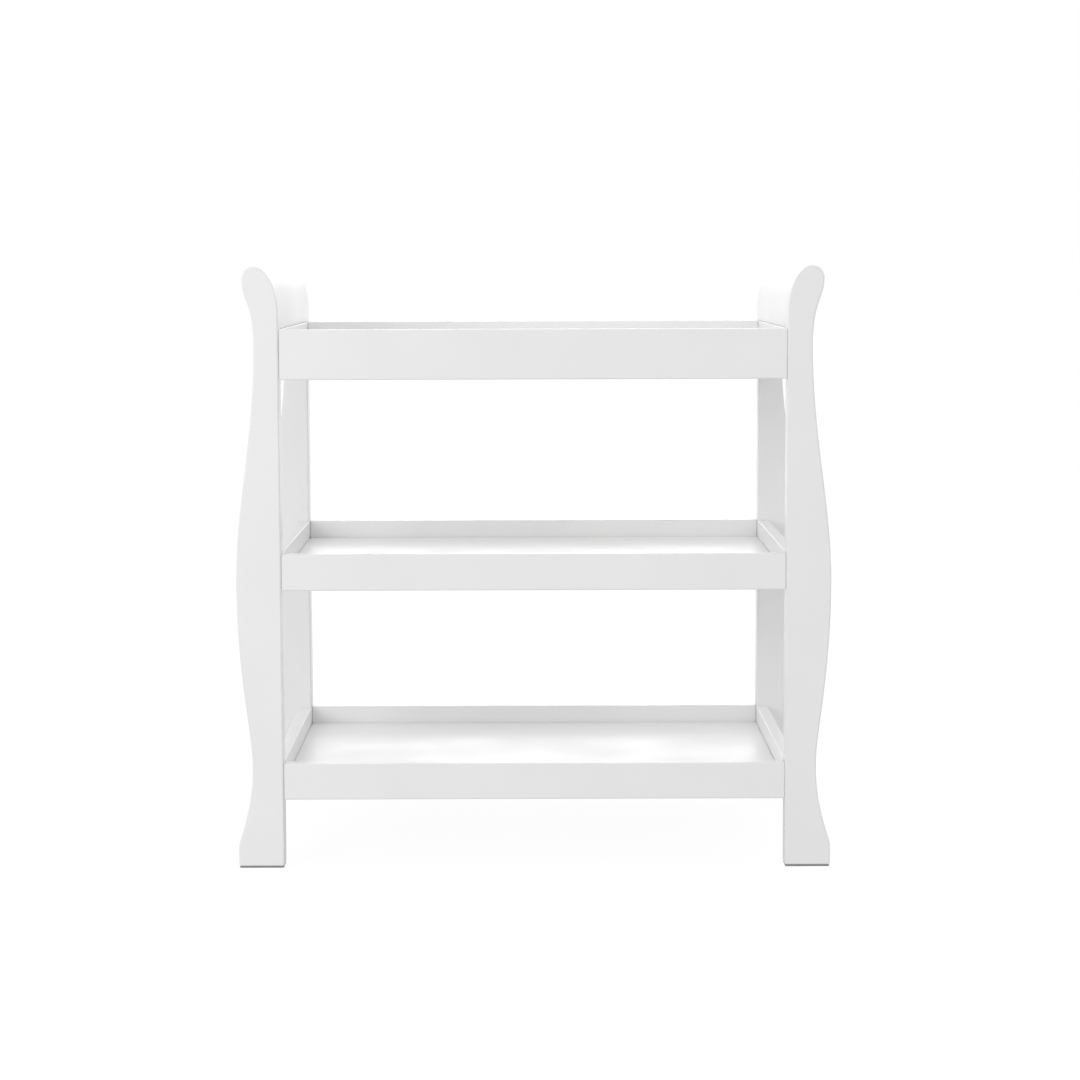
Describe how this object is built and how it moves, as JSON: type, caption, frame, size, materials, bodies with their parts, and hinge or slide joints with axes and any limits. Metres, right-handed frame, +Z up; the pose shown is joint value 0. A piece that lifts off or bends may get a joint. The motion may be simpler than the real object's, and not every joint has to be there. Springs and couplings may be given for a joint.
{
  "type": "changing table",
  "caption": "Open changing table: a railed tray on top, two railed shelves below, and S-curved sleigh-shaped end frames with rolled top rails.",
  "frame": {"origin": "on the floor, under the middle of the table", "axes": "+X from the left end to the right end, the front faces -Y, +Z up"},
  "size_m": [0.945, 0.56, 0.958],
  "materials": {
    "white_paint": "satin white paint on solid wood and board",
    "bare_wood": "bare planed wood",
    "steel": "zinc-plated steel",
    "white_plastic": "matte white moulded plastic",
    "dark_rubber": "dark grey rubber"
  },
  "bodies": {
    "root": {"left_front_post": "white_paint", "left_back_post": "white_paint", "right_front_post": "white_paint", "right_back_post": "white_paint", "left_head_rail": "white_paint", "right_head_rail": "white_paint", "left_top_side_rail": "white_paint", "left_middle_side_rail": "white_paint", "left_bottom_side_rail": "white_paint", "right_top_side_rail": "white_paint", "right_middle_side_rail": "white_paint", "right_bottom_side_rail": "white_paint", "top_front_rail": "white_paint", "top_back_rail": "white_paint", "middle_front_rail": "white_paint", "middle_back_rail": "white_paint", "bottom_front_rail": "white_paint", "bottom_back_rail": "white_paint", "top_deck": "white_paint", "middle_deck": "white_paint", "bottom_deck": "white_paint", "top_front_cleat": "bare_wood", "top_back_cleat": "bare_wood", "middle_front_cleat": "bare_wood", "middle_back_cleat": "bare_wood", "bottom_front_cleat": "bare_wood", "bottom_back_cleat": "bare_wood", "left_locating_dowels": "bare_wood", "right_locating_dowels": "bare_wood", "left_end_frame_dowels": "bare_wood", "right_end_frame_dowels": "bare_wood", "left_rail_bolts": "steel", "right_rail_bolts": "steel", "left_cross_nuts": "steel", "right_cross_nuts": "steel", "top_cleat_screws": "steel", "middle_cleat_screws": "steel", "bottom_cleat_screws": "steel", "left_bolt_caps": "white_plastic", "right_bolt_caps": "white_plastic", "left_front_foot_pad": "dark_rubber", "left_back_foot_pad": "dark_rubber", "right_front_foot_pad": "dark_rubber", "right_back_foot_pad": "dark_rubber"}
  },
  "joints": []
}
